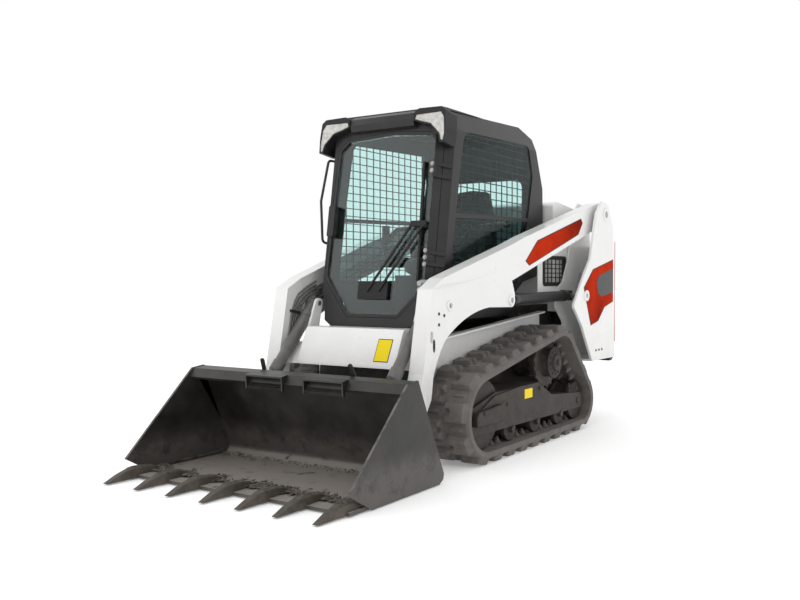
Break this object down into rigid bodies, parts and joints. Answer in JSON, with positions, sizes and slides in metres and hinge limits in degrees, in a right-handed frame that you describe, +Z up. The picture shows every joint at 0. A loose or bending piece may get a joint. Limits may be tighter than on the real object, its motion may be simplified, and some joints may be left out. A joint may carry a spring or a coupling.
{
  "type": "compact track loader",
  "caption": "Compact rubber-tracked loader with a glazed cab, raised rear towers, lift arms on hydraulic cylinders and a toothed bucket.",
  "frame": {"origin": "on the ground under the middle of the machine, at the bottom centre of its bounding box at rest", "axes": "+Z up, the bucket points along -Y and the tailgate along +Y, +X is the machine's left side"},
  "size_m": [1.422, 3.124, 1.9776],
  "materials": {
    "bare_steel": "satin",
    "black_plastic": "matte",
    "bucket_paint": "worn satin",
    "cab_glass": "clear",
    "cab_paint": "satin",
    "chrome_rod": "polished",
    "dark_paint": "satin",
    "dark_steel": "rough",
    "lamp_glass": "clear",
    "red_lens": "gloss",
    "seat_vinyl": "soft satin",
    "track_rubber": "dusty matte",
    "undercarriage_paint": "satin",
    "white_paint": "gloss"
  },
  "bodies": {
    "chassis": {"cab_base": "cab_paint", "cab_frame": "cab_paint", "cab_roof": "cab_paint", "cab_windows": "cab_glass", "chassis_pins": "bare_steel", "control_levers": "black_plastic", "door_hinges": "bare_steel", "engine_block": "dark_steel", "fenders": "white_paint", "gate_hinges": "bare_steel", "grab_handle": "cab_paint", "head_lamps": "black_plastic", "idlers": "undercarriage_paint", "lamp_lenses": "lamp_glass", "lid_hinges": "bare_steel", "main_frame": "dark_paint", "rear_body": "white_paint", "rear_bumper": "dark_paint", "rollers": "undercarriage_paint", "seat_back": "seat_vinyl", "seat_base": "dark_paint", "seat_cushion": "seat_vinyl", "seat_pivots": "bare_steel", "side_covers": "white_paint", "side_grilles": "black_plastic", "side_screens": "black_plastic", "sprockets": "dark_steel", "towers": "white_paint", "track_frames": "undercarriage_paint", "track_left": "track_rubber", "track_right": "track_rubber"},
    "rear_lid": {"rear_lid": "dark_paint"},
    "tailgate": {"tailgate": "white_paint", "tail_lamps": "red_lens"},
    "front_door": {"door_frame": "cab_paint", "door_glass": "cab_glass", "wiper": "black_plastic"},
    "seat_bar": {"seat_bar": "cab_paint"},
    "lift_arm": {"arm_left": "white_paint", "arm_right": "white_paint", "cross_member": "white_paint", "arm_pins": "bare_steel", "couplers": "bare_steel", "arm_pipes": "bare_steel"},
    "bucket": {"quick_attach": "dark_paint", "attach_levers": "dark_paint", "bucket": "bucket_paint", "bucket_steps": "bucket_paint", "teeth": "dark_steel"},
    "lift_barrel_left": {"lift_barrel_left": "cab_paint"},
    "lift_rod_left": {"lift_rod_left": "chrome_rod"},
    "tilt_barrel_left": {"tilt_barrel_left": "cab_paint"},
    "tilt_rod_left": {"tilt_rod_left": "chrome_rod"},
    "lift_barrel_right": {"lift_barrel_right": "cab_paint"},
    "lift_rod_right": {"lift_rod_right": "chrome_rod"},
    "tilt_barrel_right": {"tilt_barrel_right": "cab_paint"},
    "tilt_rod_right": {"tilt_rod_right": "chrome_rod"}
  },
  "joints": [
    {"name": "arm_lift", "type": "hinge", "parent": "chassis", "child": "lift_arm", "pos_m": [0, 1.308, 1.415], "axis": [-1, 0, 0], "range_deg": [0, 65.5]},
    {"name": "bucket_tilt", "type": "hinge", "parent": "lift_arm", "child": "bucket", "pos_m": [0, -0.747, 0.2], "axis": [1, 0, 0], "range_deg": [-25, 106]},
    {"name": "lift_barrel_left_swing", "type": "hinge", "parent": "chassis", "child": "lift_barrel_left", "pos_m": [0.56, 0.988, 0.869], "axis": [-1, 0, 0], "range_deg": [0, 65]},
    {"name": "lift_rod_left_stroke", "type": "slide", "parent": "lift_barrel_left", "child": "lift_rod_left", "axis": [0, -0.9999, -0.014], "range_m": [0, 0.687]},
    {"name": "tilt_barrel_left_swing", "type": "hinge", "parent": "lift_arm", "child": "tilt_barrel_left", "pos_m": [0.4, -0.405, 0.84], "axis": [1, 0, 0], "range_deg": [-0.3, 1.1]},
    {"name": "tilt_rod_left_stroke", "type": "slide", "parent": "tilt_barrel_left", "child": "tilt_rod_left", "axis": [0, -0.6425, -0.7663], "range_m": [-0.084, 0.353]},
    {"name": "lift_barrel_right_swing", "type": "hinge", "parent": "chassis", "child": "lift_barrel_right", "pos_m": [-0.56, 0.988, 0.869], "axis": [-1, 0, 0], "range_deg": [0, 65]},
    {"name": "lift_rod_right_stroke", "type": "slide", "parent": "lift_barrel_right", "child": "lift_rod_right", "axis": [0, -0.9999, -0.014], "range_m": [0, 0.687]},
    {"name": "tilt_barrel_right_swing", "type": "hinge", "parent": "lift_arm", "child": "tilt_barrel_right", "pos_m": [-0.4, -0.405, 0.84], "axis": [1, 0, 0], "range_deg": [-0.3, 1.1]},
    {"name": "tilt_rod_right_stroke", "type": "slide", "parent": "tilt_barrel_right", "child": "tilt_rod_right", "axis": [0, -0.6425, -0.7663], "range_m": [-0.084, 0.353]},
    {"name": "front_door_hinge", "type": "hinge", "parent": "chassis", "child": "front_door", "pos_m": [0.366, -0.33278, 1.29551], "axis": [0, 0.1435, 0.9897], "range_deg": [0, 88]},
    {"name": "tailgate_hinge", "type": "hinge", "parent": "chassis", "child": "tailgate", "pos_m": [-0.672, 1.55, 0.86], "axis": [0, 0, 1], "range_deg": [0, 95]},
    {"name": "rear_lid_hinge", "type": "hinge", "parent": "chassis", "child": "rear_lid", "pos_m": [0, 1.064, 1.483], "axis": [1, 0, 0], "range_deg": [0, 60]},
    {"name": "seat_bar_hinge", "type": "hinge", "parent": "chassis", "child": "seat_bar", "pos_m": [0, 0.64, 1.33], "axis": [-1, 0, 0], "range_deg": [0, 80]}
  ],
  "couplings": [
    {"joint": "lift_barrel_left_swing", "follows": "arm_lift", "ratio": 0.98933},
    {"joint": "lift_rod_left_stroke", "follows": "arm_lift", "m_per_rad": 0.59884},
    {"joint": "tilt_barrel_left_swing", "follows": "bucket_tilt", "ratio": 0.01},
    {"joint": "tilt_rod_left_stroke", "follows": "bucket_tilt", "m_per_rad": 0.19},
    {"joint": "lift_barrel_right_swing", "follows": "arm_lift", "ratio": 0.98933},
    {"joint": "lift_rod_right_stroke", "follows": "arm_lift", "m_per_rad": 0.59884},
    {"joint": "tilt_barrel_right_swing", "follows": "bucket_tilt", "ratio": 0.01},
    {"joint": "tilt_rod_right_stroke", "follows": "bucket_tilt", "m_per_rad": 0.19}
  ]
}
